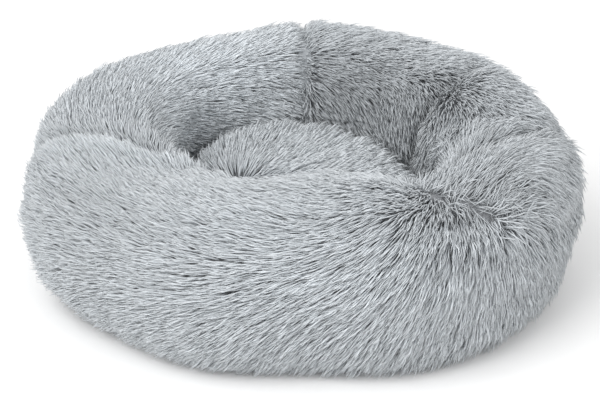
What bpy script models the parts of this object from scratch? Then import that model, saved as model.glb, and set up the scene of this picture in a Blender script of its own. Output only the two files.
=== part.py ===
"""Pet cushion bed: a fur-covered stuffed rim round a nest, with a loose cushion and a zip in the base.

Metres, +Z up. X runs along the zip, Y points away from the front of the bed, and z = 0 is the floor.
"""

import math

import bmesh
import bpy
from mathutils import Matrix, Vector

# Driving dimensions -------------------------------------------------------------------------------
# The rim, every 22.5 degrees anticlockwise from +X: outer radius, nest radius, height.
RIM_STATIONS = (
    (0.300, 0.130, 0.187),
    (0.291, 0.122, 0.205),
    (0.293, 0.118, 0.204),
    (0.290, 0.124, 0.208),
    (0.291, 0.139, 0.210),
    (0.293, 0.150, 0.200),
    (0.305, 0.153, 0.196),
    (0.320, 0.144, 0.193),
    (0.312, 0.130, 0.182),
    (0.315, 0.110, 0.172),
    (0.297, 0.097, 0.173),
    (0.291, 0.100, 0.180),
    (0.270, 0.110, 0.192),
    (0.285, 0.130, 0.197),
    (0.293, 0.150, 0.187),
    (0.300, 0.150, 0.189),
)
RIM_CENTRE = Vector((0.0060, -0.0085, 0.0))  # puts the middle of the bed's outline on the origin
RIM_SQUARENESS = 0.78  # power of the section's sine and cosine: 1 is an ellipse, 0 a rectangle
AROUND = 48  # sections round the bed
OVER = 12  # faces over the rim from the outer edge to the inner edge

# Layers under the bed, from the floor up
PANEL_THICK = 0.0060
GAP = 0.0003
WADDING_THICK = 0.0030
LINING_THICK = 0.0012
WADDING_BOTTOM = PANEL_THICK + GAP
LINING_BOTTOM = WADDING_BOTTOM + WADDING_THICK + GAP
STUFFING_BOTTOM = LINING_BOTTOM + LINING_THICK + GAP
PANEL_REACH = 0.50  # edge of the base panel, from the rim's centre line, as a share of half the rim's width
LINING_REACH = 0.46
BINDING_WIDE = 0.0045
BINDING_GAP = 0.0006

# The rim's wall, from its fur surface inwards
COVER_WALL = 0.0080
TAPE_DEPTH = 0.0094
TAPE_THICK = 0.0008
FILLING_DEPTH = 0.0114
FILLING_FOOT = 0.40  # half the filling's flat underside, as a share of half the rim's width
INNER_EDGE_ANGLE = 55.0  # where the cover's inner face stops, in degrees below the horizontal
SEAM_AZIMUTH = 90.0
SEAM_TAPE_WIDE = 5.0  # degrees

# The loose cushion
CUSHION_CLEARANCE = 0.0045
CUSHION_TOP = 0.1310
CUSHION_SHOULDER = 0.1180
CUSHION_WALL = 0.0120
CUSHION_CLOTH = 0.0012
CUSHION_DOME = (0.0, 0.3, 0.55, 0.75, 0.9)  # shares of the radius where the crown has its points
CUSHION_SIDE = ((0.975, 0.107), (1.0, 0.082), (1.0, 0.055), (0.975, 0.030))  # share of the radius, height
CUSHION_WAIST = 0.060  # above this height an inset also lowers the profile
CUSHION_FOOT = 0.93  # the underside's radius, as a share of the cushion's

# The zip in the base panel
ZIP_Y = 0.0450
SLOT_HALF_LENGTH = 0.1600
SLOT_HALF_WIDTH = 0.0080
TAPE_HALF_LENGTH = 0.1575
ZIP_TAPE_WIDE = 0.0120
ZIP_TAPE_THICK = 0.0007
CHAIN_HALF_LENGTH = 0.1460
CHAIN_GAP = 0.0009  # half the slit that the slider's post runs in
COIL_WIDE = 0.0026
COIL_THICK = 0.0016
STOP_SIZE = Vector((0.0030, 0.0068, 0.0016))
STOP_ROUND = 0.0004
SLIDER_X = 0.1380
SLIDER_LENGTH = 0.0110
SLIDER_HALF_WIDTH = 0.0048
PLATE_THICK = 0.0010
PLATE_PLAY = 0.0004
HINGE_DROP = 0.0008
FLANGE_THICK = 0.0009
POST_HALF_WIDTH = 0.0005
BRIDGE_HALF_LENGTH = 0.0042
BRIDGE_HALF_WIDTH = 0.0008
BRIDGE_BAR = 0.0008
BRIDGE_DROP = 0.0016  # the bridge's underside below the pull's hinge
PULL_THICK = 0.0008
PULL_LENGTH = 0.0260
PULL_HALF_WIDTH = 0.0036
EYE_LENGTH = 0.0070
EYE_HALF_WIDTH = 0.0015
EYE_BAR = 0.0009
EYE_SIDE = 0.0010  # metal beside the eye
PULL_NECK = 0.0020
PULL_SHOULDER = 0.0060

# The blank care label under the base panel
LABEL_CENTRE = Vector((0.1000, 0.0950, 0.0))
LABEL_LENGTH = 0.0320
LABEL_WIDE = 0.0200
LABEL_THICK = 0.0006
POCKET_DEPTH = 0.0012
POCKET_MARGIN = 0.0010

MATERIALS = {
    "fur": ((0.66, 0.68, 0.71), 0.9, 0.0),
    "lining_cloth": ((0.55, 0.57, 0.60), 0.9, 0.0),
    "polyester_fibre": ((0.88, 0.88, 0.87), 1.0, 0.0),
    "anti_slip_cloth": ((0.30, 0.31, 0.33), 0.8, 0.0),
    "binding_tape": ((0.42, 0.44, 0.47), 0.85, 0.0),
    "zip_tape_cloth": ((0.36, 0.38, 0.41), 0.85, 0.0),
    "zip_nylon": ((0.40, 0.42, 0.45), 0.4, 0.0),
    "zip_metal": ((0.62, 0.63, 0.65), 0.3, 1.0),
    "label_satin": ((0.90, 0.90, 0.90), 0.5, 0.0),
}


# Scene, materials and small helpers ---------------------------------------------------------------
def clear_scene():
    for obj in list(bpy.data.objects):
        bpy.data.objects.remove(obj, do_unlink=True)


def new_collection(name):
    collection = bpy.data.collections.new(name)
    bpy.context.scene.collection.children.link(collection)
    return collection


def build_materials():
    made = {}
    for name, (colour, roughness, metallic) in MATERIALS.items():
        material = bpy.data.materials.new(name)
        material.use_nodes = True
        shader = material.node_tree.nodes["Principled BSDF"]
        shader.inputs["Base Color"].default_value = (*colour, 1.0)
        shader.inputs["Roughness"].default_value = roughness
        shader.inputs["Metallic"].default_value = metallic
        made[name] = material
    return made


clear_scene()
BED = new_collection("pet_cushion_bed")
CUTTERS = new_collection("cutters")
FINISH = build_materials()


def add_object(name, data, finish=None, collection=BED):
    obj = bpy.data.objects.new(name, data)
    collection.objects.link(obj)
    if finish:
        data.materials.append(FINISH[finish])
    return obj


def as_cutter(obj):
    for owner in list(obj.users_collection):
        owner.objects.unlink(obj)
    CUTTERS.objects.link(obj)
    obj.hide_render = True
    obj.display_type = "WIRE"
    return obj


def add_block(name, low, high, finish=None):
    """A box between two corners, from Blender's cube."""
    mesh = bpy.data.meshes.new(name)
    low, high = Vector(low), Vector(high)
    shape = bmesh.new()
    bmesh.ops.create_cube(shape, size=1.0, matrix=Matrix.Diagonal((*(high - low), 1.0)))
    shape.to_mesh(mesh)
    shape.free()
    obj = add_object(name, mesh, finish)
    obj.location = (low + high) / 2
    return obj


def boolean(obj, tool, operation):
    modifier = obj.modifiers.new(f"{operation.lower()}_{tool.name}", "BOOLEAN")
    modifier.operation = operation
    modifier.solver = "EXACT"
    modifier.object = as_cutter(tool)


# The rim's shape ----------------------------------------------------------------------------------
def rim_station(azimuth):
    """Outer radius, nest radius and height at an azimuth in degrees, on a smooth closed curve."""
    count = len(RIM_STATIONS)
    place = azimuth / 360.0 * count
    first = math.floor(place)
    t = place - first
    near = [RIM_STATIONS[(first + k) % count] for k in (-1, 0, 1, 2)]
    return [between(t, *values) for values in zip(*near)]


def between(t, before, start, end, after):
    """Catmull-Rom: runs smoothly from start to end as t goes from 0 to 1."""
    slope = end - before
    bend = 2 * before - 5 * start + 4 * end - after
    twist = 3 * start - before - 3 * end + after
    return start + 0.5 * (slope * t + bend * t**2 + twist * t**3)


def signed_power(value, power):
    return math.copysign(abs(value) ** power, value)


def rim_point(azimuth, angle, depth=0.0):
    """Radius and height on the rim's section. angle is 0 outside, 90 on top, 180 at the nest."""
    outer, nest, height = rim_station(azimuth)
    centre, half_wide, half_high = (outer + nest) / 2, (outer - nest) / 2 - depth, height / 2 - depth
    turn = math.radians(angle)
    radius = centre + half_wide * signed_power(math.cos(turn), RIM_SQUARENESS)
    return radius, height / 2 + half_high * signed_power(math.sin(turn), RIM_SQUARENESS)


def edge_angle(azimuth, level):
    """How far below the horizontal the rim's outer face meets a level, in degrees."""
    height = rim_station(azimuth)[2]
    return math.degrees(math.asin((1 - 2 * level / height) ** (1 / RIM_SQUARENESS)))


def under_rim(azimuth, reach):
    """Radius of a base layer: the rim's centre line plus a share of half the rim's width."""
    outer, nest, _ = rim_station(azimuth)
    return (outer + nest) / 2 + reach * (outer - nest) / 2


def in_plan(azimuth, radius, height):
    turn = math.radians(azimuth)
    return RIM_CENTRE + Vector((radius * math.cos(turn), radius * math.sin(turn), height))


def azimuths():
    return [360.0 * step / AROUND for step in range(AROUND)]


def spread(first, last, count):
    return [first + (last - first) * step / count for step in range(count + 1)]


def inner_angles():
    """Where the cover's inner face, the seam tape and the filling have their points over the rim."""
    return spread(-INNER_EDGE_ANGLE, 180.0 + INNER_EDGE_ANGLE, OVER - 2)


# Makers of closed and open surfaces ---------------------------------------------------------------
def loft_round(name, section, finish, closed=True):
    """Joins one section for each azimuth into a ring. An open section starts and ends on the axis."""
    mesh = bpy.data.meshes.new(name)
    shape = bmesh.new()
    rows = [
        [shape.verts.new(in_plan(azimuth, *point)) for point in section(azimuth)]
        for azimuth in azimuths()
    ]
    sides = len(rows[0]) if closed else len(rows[0]) - 1
    for this, following in zip(rows, rows[1:] + rows[:1]):
        for side in range(sides):
            after = (side + 1) % len(this)
            shape.faces.new((this[side], following[side], following[after], this[after]))
    bmesh.ops.remove_doubles(shape, verts=shape.verts, dist=0.00001)
    bmesh.ops.recalc_face_normals(shape, faces=shape.faces)
    shape.to_mesh(mesh)
    shape.free()
    mesh.shade_smooth()
    return add_object(name, mesh, finish)


def flat_layer(name, radius_at, bottom, thick, finish):
    """A flat layer of cloth whose outline follows a radius for each azimuth."""
    curve = bpy.data.curves.new(name, "CURVE")
    curve.dimensions = "2D"
    curve.fill_mode = "BOTH"
    curve.extrude = thick / 2
    spline = curve.splines.new("POLY")
    spline.points.add(AROUND - 1)
    for point, azimuth in zip(spline.points, azimuths()):
        point.co = (*in_plan(azimuth, radius_at(azimuth), 0.0), 1.0)
    spline.use_cyclic_u = True
    guide = add_object(name + "_outline", curve)
    guide.location.z = bottom + thick / 2
    bpy.context.view_layer.update()
    return curve_to_mesh(guide, name, finish)


def curve_to_mesh(guide, name, finish):
    """Replaces a curve by its mesh, with the caps welded to the sides."""
    graph = bpy.context.evaluated_depsgraph_get()
    mesh = bpy.data.meshes.new_from_object(guide.evaluated_get(graph))
    mesh.name = name
    shape = bmesh.new()
    shape.from_mesh(mesh)
    bmesh.ops.remove_doubles(shape, verts=shape.verts, dist=0.00001)
    shape.to_mesh(mesh)
    shape.free()
    mesh.materials.clear()
    obj = add_object(name, mesh, finish)
    obj.matrix_world = guide.matrix_world.copy()
    bpy.data.objects.remove(guide, do_unlink=True)
    return obj


# The rim ------------------------------------------------------------------------------------------
def rim_cover_section(azimuth):
    edge = edge_angle(azimuth, STUFFING_BOTTOM)
    outside = [rim_point(azimuth, angle) for angle in spread(-edge, 180.0 + edge, OVER)]
    inside = [rim_point(azimuth, angle, COVER_WALL) for angle in reversed(inner_angles())]
    return outside + inside


def rim_filling_section(azimuth):
    body = [rim_point(azimuth, angle, FILLING_DEPTH) for angle in inner_angles()]
    foot = [(under_rim(azimuth, reach), STUFFING_BOTTOM) for reach in (-FILLING_FOOT, FILLING_FOOT)]
    return body + foot


def build_rim():
    loft_round("rim_cover", rim_cover_section, "fur")
    loft_round("rim_filling", rim_filling_section, "polyester_fibre")


def build_back_seam_tape():
    """The tape that backs the seam where the fur tube's two ends meet, inside the rim."""
    mesh = bpy.data.meshes.new("back_seam_tape")
    shape = bmesh.new()
    rows = [
        [
            shape.verts.new(in_plan(azimuth, *rim_point(azimuth, angle, TAPE_DEPTH)))
            for angle in inner_angles()[1:-1]
        ]
        for azimuth in spread(SEAM_AZIMUTH - SEAM_TAPE_WIDE / 2, SEAM_AZIMUTH + SEAM_TAPE_WIDE / 2, 2)
    ]
    for this, following in zip(rows, rows[1:]):
        for side in range(len(this) - 1):
            shape.faces.new((this[side], following[side], following[side + 1], this[side + 1]))
    bmesh.ops.recalc_face_normals(shape, faces=shape.faces)
    shape.to_mesh(mesh)
    shape.free()
    tape = add_object("back_seam_tape", mesh, "binding_tape")
    wall = tape.modifiers.new("thickness", "SOLIDIFY")
    wall.thickness = TAPE_THICK
    wall.offset = 0.0


# The base -----------------------------------------------------------------------------------------
def panel_radius(azimuth):
    return under_rim(azimuth, PANEL_REACH)


def binding_section(azimuth):
    inner = panel_radius(azimuth) + BINDING_GAP
    low, high = GAP, STUFFING_BOTTOM - GAP
    lip = BINDING_WIDE / 4
    return [
        (inner, low),
        (inner + BINDING_WIDE - lip, low),
        (inner + BINDING_WIDE, low + lip),
        (inner + BINDING_WIDE, high - lip),
        (inner + BINDING_WIDE - lip, high),
        (inner, high),
    ]


def slot_cutter(name, half_length, half_width, low, high):
    start = (-half_length, ZIP_Y - half_width, low)
    return add_block(name, start, (half_length, ZIP_Y + half_width, high))


def build_base():
    beyond = 0.002
    panel = flat_layer("base_panel", panel_radius, 0.0, PANEL_THICK, "anti_slip_cloth")
    slot = slot_cutter("panel_slot", SLOT_HALF_LENGTH, SLOT_HALF_WIDTH, -beyond, PANEL_THICK + beyond)
    boolean(panel, slot, "DIFFERENCE")
    pocket_half = Vector((LABEL_LENGTH / 2 + POCKET_MARGIN, LABEL_WIDE / 2 + POCKET_MARGIN, 0.0))
    pocket_top = Vector((0.0, 0.0, POCKET_DEPTH))
    below = Vector((0.0, 0.0, -beyond))
    pocket_low = LABEL_CENTRE - pocket_half + below
    pocket = add_block("label_pocket", pocket_low, LABEL_CENTRE + pocket_half + pocket_top)
    boolean(panel, pocket, "DIFFERENCE")
    wadding = flat_layer("base_wadding", panel_radius, WADDING_BOTTOM, WADDING_THICK, "polyester_fibre")
    tape_room = CHAIN_GAP + ZIP_TAPE_WIDE + GAP
    slot = slot_cutter(
        "wadding_slot", TAPE_HALF_LENGTH + GAP, tape_room, WADDING_BOTTOM - beyond, LINING_BOTTOM + beyond
    )
    boolean(wadding, slot, "DIFFERENCE")
    flat_layer(
        "floor_lining",
        lambda azimuth: under_rim(azimuth, -LINING_REACH),
        LINING_BOTTOM,
        LINING_THICK,
        "lining_cloth",
    )
    loft_round("hem_binding", binding_section, "binding_tape")
    label_half = Vector((LABEL_LENGTH / 2, LABEL_WIDE / 2, 0.0))
    label_low = LABEL_CENTRE - label_half + Vector((0.0, 0.0, GAP))
    label_high = LABEL_CENTRE + label_half + Vector((0.0, 0.0, GAP + LABEL_THICK))
    add_block("care_label", label_low, label_high, "label_satin")


# The cushion --------------------------------------------------------------------------------------
def cushion_radius(azimuth):
    return rim_station(azimuth)[1] - CUSHION_CLEARANCE


def cushion_outer_profile(azimuth, inset=0.0):
    """From the middle of the cushion's crown out and down to its lower edge."""
    edge = cushion_radius(azimuth) - inset
    crown, shoulder = CUSHION_TOP - inset, CUSHION_SHOULDER - inset
    low = STUFFING_BOTTOM + CUSHION_CLOTH + GAP
    dome = [(edge * share, crown - (crown - shoulder) * share**4) for share in CUSHION_DOME]
    side = [(edge * share, height - inset * (height > CUSHION_WAIST)) for share, height in CUSHION_SIDE]
    return dome + side + [(edge * CUSHION_FOOT, low)]


def cushion_top_section(azimuth):
    return cushion_outer_profile(azimuth) + list(reversed(cushion_outer_profile(azimuth, CUSHION_WALL)))


def cushion_filling_section(azimuth):
    body = cushion_outer_profile(azimuth, CUSHION_WALL + 2 * GAP)
    return body + [(0.0, body[-1][1])]


def build_cushion():
    loft_round("cushion_top", cushion_top_section, "fur", closed=False)
    loft_round("cushion_filling", cushion_filling_section, "polyester_fibre", closed=False)
    flat_layer(
        "cushion_underside",
        lambda azimuth: CUSHION_FOOT * cushion_radius(azimuth),
        STUFFING_BOTTOM,
        CUSHION_CLOTH,
        "lining_cloth",
    )


# The zip ------------------------------------------------------------------------------------------
TAPE_BOTTOM = PANEL_THICK + GAP
COIL_TOP = TAPE_BOTTOM - GAP
COIL_BOTTOM = COIL_TOP - COIL_THICK
PLATE_TOP = COIL_BOTTOM - PLATE_PLAY
PLATE_BOTTOM = PLATE_TOP - PLATE_THICK
HINGE_Z = PLATE_BOTTOM - HINGE_DROP


def build_zip_halves():
    for side, sign in (("front", -1), ("back", 1)):
        near, far = ZIP_Y + sign * CHAIN_GAP, ZIP_Y + sign * (CHAIN_GAP + ZIP_TAPE_WIDE)
        tape_low = (-TAPE_HALF_LENGTH, min(near, far), TAPE_BOTTOM)
        tape_high = (TAPE_HALF_LENGTH, max(near, far), TAPE_BOTTOM + ZIP_TAPE_THICK)
        add_block(f"zip_tape_{side}", tape_low, tape_high, "zip_tape_cloth")
        far = near + sign * COIL_WIDE
        coil_low = (-CHAIN_HALF_LENGTH, min(near, far), COIL_BOTTOM)
        coil_high = (CHAIN_HALF_LENGTH, max(near, far), COIL_TOP)
        add_block(f"zip_coil_{side}", coil_low, coil_high, "zip_nylon")


def build_zip_stops():
    for name, sign in (("zip_top_stop", 1), ("zip_bottom_stop", -1)):
        out = CHAIN_HALF_LENGTH + GAP + STOP_SIZE.x / 2
        centre = Vector((sign * out, ZIP_Y, COIL_TOP - STOP_SIZE.z / 2))
        stop = add_block(name, centre - STOP_SIZE / 2, centre + STOP_SIZE / 2, "zip_metal")
        edge = stop.modifiers.new("rounded", "BEVEL")
        edge.width = STOP_ROUND
        edge.segments = 2


def build_zip_slider():
    """Two plates joined by a post in the slit, with flanges round the coils and a bridge below."""
    x, y = SLIDER_X, ZIP_Y
    half = SLIDER_LENGTH / 2
    reach = SLIDER_HALF_WIDTH
    bite = 0.0002  # how far joined blocks run into each other
    plate_low, plate_high = (x - half, y - reach, PLATE_BOTTOM), (x + half, y + reach, PLATE_TOP)
    slider = add_block("zip_slider", plate_low, plate_high, "zip_metal")
    upper = TAPE_BOTTOM + ZIP_TAPE_THICK + GAP
    blocks = [
        ("upper_plate", (x - half, y - reach, upper), (x + half, y + reach, upper + PLATE_THICK)),
        (
            "post",
            (x - half / 2, y - POST_HALF_WIDTH, PLATE_TOP - bite),
            (x + half / 2, y + POST_HALF_WIDTH, upper + bite),
        ),
    ]
    for sign in (-1, 1):
        ends = sorted((y + sign * (reach + bite), y + sign * (reach - FLANGE_THICK)))
        low = (x - half + bite, ends[0], PLATE_TOP - bite)
        high = (x + half - bite, ends[1], COIL_TOP - bite)
        blocks.append(("flange", low, high))
    bar_low = HINGE_Z - BRIDGE_DROP
    arch = BRIDGE_HALF_LENGTH
    thick = BRIDGE_BAR
    blocks.append(
        (
            "bridge_bar",
            (x - arch, y - BRIDGE_HALF_WIDTH, bar_low),
            (x + arch, y + BRIDGE_HALF_WIDTH, bar_low + thick),
        )
    )
    for sign in (-1, 1):
        ends = sorted((x + sign * (arch + bite), x + sign * (arch - thick)))
        blocks.append(
            (
                "bridge_foot",
                (ends[0], y - BRIDGE_HALF_WIDTH - bite / 2, bar_low - bite / 2),
                (ends[1], y + BRIDGE_HALF_WIDTH + bite / 2, PLATE_BOTTOM + bite),
            )
        )
    for name, low, high in blocks:
        boolean(slider, add_block(name, low, high), "UNION")


def build_zip_pull():
    """A flat tab with a long eye. Its end bar turns inside the slider's bridge."""
    curve = bpy.data.curves.new("zip_pull", "CURVE")
    curve.dimensions = "2D"
    curve.fill_mode = "BOTH"
    curve.extrude = PULL_THICK / 2
    narrow = EYE_HALF_WIDTH + EYE_SIDE
    nose = EYE_BAR / 2
    neck, shoulder = -EYE_LENGTH - PULL_NECK, -EYE_LENGTH - PULL_SHOULDER
    outline = [(nose, -narrow), (nose, narrow), (neck, narrow), (shoulder, PULL_HALF_WIDTH)]
    round_half = PULL_HALF_WIDTH
    round_centre = -PULL_LENGTH + round_half
    for turn in spread(90.0, 270.0, 8):
        angle = math.radians(turn)
        outline.append((round_centre + round_half * math.cos(angle), round_half * math.sin(angle)))
    outline += [(shoulder, -PULL_HALF_WIDTH), (neck, -narrow)]
    hole = EYE_HALF_WIDTH
    eye = [(-nose, hole), (-nose, -hole), (-EYE_LENGTH, -hole), (-EYE_LENGTH, hole)]
    for points in (outline, eye):
        spline = curve.splines.new("POLY")
        spline.points.add(len(points) - 1)
        for point, (along, across) in zip(spline.points, points):
            point.co = (along, across, 0.0, 1.0)
        spline.use_cyclic_u = True
    guide = add_object("zip_pull_outline", curve)
    guide.location = (SLIDER_X, ZIP_Y, HINGE_Z)
    bpy.context.view_layer.update()
    curve_to_mesh(guide, "zip_pull", "zip_metal")


build_rim()
build_back_seam_tape()
build_base()
build_cushion()
build_zip_halves()
build_zip_stops()
build_zip_slider()
build_zip_pull()
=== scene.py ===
# %% [markdown]
# # A fur pet bed, dressed around its CAD frame
# The real bed is a ring of long-pile fur cloth stuffed with loose fibre, with a flat fur cushion in
# its nest. The CAD model gives the exact places. This script adds what cloth and fur look like:
# lumps and folds, more than a hundred thousand locks of pile, and the sewn details underneath.

import math

import bmesh
import bpy
import numpy as np
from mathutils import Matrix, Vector


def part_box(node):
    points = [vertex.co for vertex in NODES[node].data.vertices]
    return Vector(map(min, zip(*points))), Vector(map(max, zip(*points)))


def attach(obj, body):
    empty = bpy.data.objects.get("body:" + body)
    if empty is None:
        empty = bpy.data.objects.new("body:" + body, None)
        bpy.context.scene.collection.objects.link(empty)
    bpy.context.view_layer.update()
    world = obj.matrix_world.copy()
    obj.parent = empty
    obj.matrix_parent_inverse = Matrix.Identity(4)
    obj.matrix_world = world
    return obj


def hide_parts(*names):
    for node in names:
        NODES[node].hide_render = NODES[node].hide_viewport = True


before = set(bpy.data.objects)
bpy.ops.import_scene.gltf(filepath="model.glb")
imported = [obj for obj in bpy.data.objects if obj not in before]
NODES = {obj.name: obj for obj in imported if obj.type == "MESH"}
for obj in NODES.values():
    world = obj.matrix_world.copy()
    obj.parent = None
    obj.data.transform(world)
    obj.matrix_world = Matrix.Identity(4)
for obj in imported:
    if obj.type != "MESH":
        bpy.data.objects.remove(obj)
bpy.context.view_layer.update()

# %% [markdown]
# ## Camera, light and floor
# A long lens from 1.7 m away keeps the ring's shape honest. The light is a big soft panel high on
# the left, with a weak one on the right, because fur needs a direction of light before its locks can
# be told apart.

# %% Camera
CAMERA_PLACE = Vector((0.0, -1.5427, 0.8282))
CAMERA_AIM = Vector((0.0, -0.0085, 0.0785))
LENS_MM = 91.2

lens = bpy.data.cameras.new("camera")
lens.lens = LENS_MM
lens.sensor_width = 36.0
lens.sensor_fit = "HORIZONTAL"
camera = bpy.data.objects.new("camera", lens)
camera.location = CAMERA_PLACE
camera.rotation_euler = (CAMERA_AIM - CAMERA_PLACE).to_track_quat("-Z", "Y").to_euler()
bpy.context.scene.collection.objects.link(camera)
bpy.context.scene.camera = camera

# %% Lights and the sky
def soft_panel(name, place, aim, size, watts):
    """A square white area light that looks at a point."""
    lamp = bpy.data.lights.new(name, "AREA")
    lamp.shape = "SQUARE"
    lamp.size = size
    lamp.energy = watts
    panel = bpy.data.objects.new(name, lamp)
    panel.location = place
    panel.rotation_euler = (Vector(aim) - Vector(place)).to_track_quat("-Z", "Y").to_euler()
    bpy.context.scene.collection.objects.link(panel)


LIGHT_AIM = (0, 0, 0.08)
SKY_STRENGTH = 0.92

soft_panel("key_light", (-1.20, -1.20, 1.75), LIGHT_AIM, 1.7, 36.0)
soft_panel("fill_light", (1.50, -1.60, 1.10), LIGHT_AIM, 1.6, 10.0)
sky = bpy.data.worlds.new("studio")
sky.use_nodes = True
sky_inputs = sky.node_tree.nodes["Background"].inputs
sky_inputs["Color"].default_value = (1.0, 1.0, 1.0, 1.0)
sky_inputs["Strength"].default_value = SKY_STRENGTH
bpy.context.scene.world = sky
bpy.context.scene.view_settings.view_transform = "Standard"

# %% Floor
FLOOR_DROP = 0.0005
FLOOR_GREY = 0.93


def material_start(name, roughness):
    """A new node material: itself, its tree and its Principled shader."""
    material = bpy.data.materials.new(name)
    material.use_nodes = True
    surface = material.node_tree.nodes["Principled BSDF"]
    surface.inputs["Roughness"].default_value = roughness
    return material, material.node_tree, surface


bpy.ops.mesh.primitive_plane_add(size=12.0, location=(0, 0, -FLOOR_DROP))
floor = bpy.context.object
floor.name = "floor"
paper, _, paper_surface = material_start("floor_paper", 0.9)
paper_surface.inputs["Base Color"].default_value = (FLOOR_GREY, FLOOR_GREY, FLOOR_GREY, 1)
floor.data.materials.append(paper)

# %% [markdown]
# ## Where a point is on the ring
# Every step on the rim needs the same two angles for a point: the azimuth around the nest, and how
# far the point has turned over the stuffed tube, from 0 at the outside through 90 on the crest to
# 180 at the nest wall. The tube's middle line is measured from the CAD filling, so that it isn't
# written down twice.

# %% Merge a copy of a CAD node
def link_mesh(name, mesh):
    """A new object for a mesh, linked to the scene."""
    piece = bpy.data.objects.new(name, mesh)
    bpy.context.scene.collection.objects.link(piece)
    return piece


def finish_shape(name, shape):
    """Turns a bmesh into a linked object whose faces point outwards."""
    bmesh.ops.recalc_face_normals(shape, faces=shape.faces)
    mesh = bpy.data.meshes.new(name)
    shape.to_mesh(mesh)
    shape.free()
    return link_mesh(name, mesh)


def shape_of(name, verts, faces):
    """A linked object from lists of points and faces."""
    rough = bpy.data.meshes.new(name)
    rough.from_pydata(verts, [], faces)
    shape = bmesh.new()
    shape.from_mesh(rough)
    bpy.data.meshes.remove(rough)
    return finish_shape(name, shape)


def merged_copy(node, name):
    """A clean mesh object with the CAD node's shape. The CAD node's own triangles aren't joined."""
    shape = bmesh.new()
    shape.from_mesh(NODES[node].data)
    bmesh.ops.remove_doubles(shape, verts=shape.verts, dist=1e-5)
    return finish_shape(name, shape)


def points_of(mesh):
    """The mesh's points as an array, one row a point."""
    flat = np.zeros(len(mesh.vertices) * 3, np.float32)
    mesh.vertices.foreach_get("co", flat)
    return flat.reshape(-1, 3).astype(float)


def move_points(mesh, points):
    """Puts the points back in the mesh."""
    mesh.vertices.foreach_set("co", points.astype(np.float32).ravel())
    mesh.update()


# %% Measure the tube
RIM_CENTRE = np.array([0.006, -0.0085, 0.0])
TUBE_STATIONS = 48

rim_skin = merged_copy("rim_filling", "rim_skin")
tube = points_of(rim_skin.data) - RIM_CENTRE
tube_azimuth = np.degrees(np.arctan2(tube[:, 1], tube[:, 0])) % 360
tube_reach = np.hypot(tube[:, 0], tube[:, 1])
tube_middle = []
for station in range(TUBE_STATIONS):
    away = (tube_azimuth - station * 360 / TUBE_STATIONS + 180) % 360 - 180
    near = np.abs(away) < 2.0
    reach = tube_reach[near]
    height = tube[near, 2]
    tube_middle.append(((reach.max() + reach.min()) / 2, (height.max() + height.min()) / 2))
tube_middle = np.array(tube_middle)
print("tube middle, metres from the centre and up:", tube_middle.mean(0).round(4))


def ring_place(points):
    """Azimuth and turn over the tube, both in degrees, for each point."""
    away = points - RIM_CENTRE
    azimuth = np.degrees(np.arctan2(away[:, 1], away[:, 0])) % 360
    place = np.append(np.arange(TUBE_STATIONS), TUBE_STATIONS) * 360 / TUBE_STATIONS
    middle = np.vstack([tube_middle, tube_middle[:1]])
    middle_reach = np.interp(azimuth, place, middle[:, 0])
    middle_up = np.interp(azimuth, place, middle[:, 1])
    reach = np.hypot(away[:, 0], away[:, 1])
    over = np.degrees(np.arctan2(away[:, 2] - middle_up, reach - middle_reach))
    over = np.where(over < -90, over + 360, over)
    return azimuth, over


def apart(azimuth, centre):
    """How far each azimuth is from a centre, in degrees, the short way round."""
    return (azimuth - centre + 180) % 360 - 180


def smooth_step(share):
    """0 below 0, 1 above 1, and an even S between."""
    share = np.clip(share, 0, 1)
    return share * share * (3 - 2 * share)


# %% [markdown]
# ## The rim's lumps and folds
# Loose fibre never fills a tube evenly. The skin is remeshed to an even grid of about 5 mm, and then
# pushed in and out by smooth bumps listed below, the way one would with a large sculpting brush.

# %% Remesh the skin
SKIN_CELL = 0.005


def even_grid(piece, cell):
    """Voxel remesh of the piece, applied."""
    grid = piece.modifiers.new("grid", "REMESH")
    grid.mode = "VOXEL"
    grid.voxel_size = cell
    grid.use_smooth_shade = True
    graph = bpy.context.evaluated_depsgraph_get()
    mesh = bpy.data.meshes.new_from_object(piece.evaluated_get(graph))
    piece.modifiers.clear()
    old = piece.data
    piece.data = mesh
    bpy.data.meshes.remove(old)


even_grid(rim_skin, SKIN_CELL)
print("rim skin points", len(rim_skin.data.vertices))


def normals_of(mesh):
    """The mesh's point normals as an array."""
    flat = np.zeros(len(mesh.vertices) * 3, np.float32)
    mesh.vertex_normals.foreach_get("vector", flat)
    return flat.reshape(-1, 3).astype(float)


# %% Bumps and folds, each by azimuth, turn over the tube, widths and how far it moves out
RIM_BUMPS = (
    (248, 5, 16, 40, 0.005),
    (355, 20, 20, 50, 0.004),
    (194, 80, 7, 45, 0.006),
    (215, 100, 13, 35, -0.007),
    (290, 8, 12, 32, 0.006),
    (308, 60, 12, 22, -0.010),
    (306, 100, 11, 30, -0.007),
    (328, 95, 13, 40, 0.005),
    (10, 104, 8, 40, 0.003),
    (68, 95, 22, 35, 0.003),
    (30, 88, 12, 30, 0.003),
    (240, 60, 30, 40, 0.003),
)
FLOOR_HOLD_HIGH = 0.03
RIM_FOLDS = (
    ((314, 124), (340, 118), (2, 46), 2.8, 0.025),
    ((22, 174), (17, 130), (31, 78), 4.0, 0.015),
    ((206, 146), (190, 110), (181, 40), 3.0, 0.022),
    ((214, 140), (199, 102), (190, 50), 2.8, -0.007),
    ((91, 178), (92, 120), (92, 40), 2.2, 0.015),
)


def soft_spots(table, azimuth, over, start=0.0):
    """Adds up a table of round soft spots, each fading out over its widths."""
    total = np.full(len(azimuth), start)
    for centre, turn, wide, tall, amount in table:
        spread = (apart(azimuth, centre) / wide) ** 2 + ((over - turn) / tall) ** 2
        total += amount * np.exp(-spread)
    return total


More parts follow.
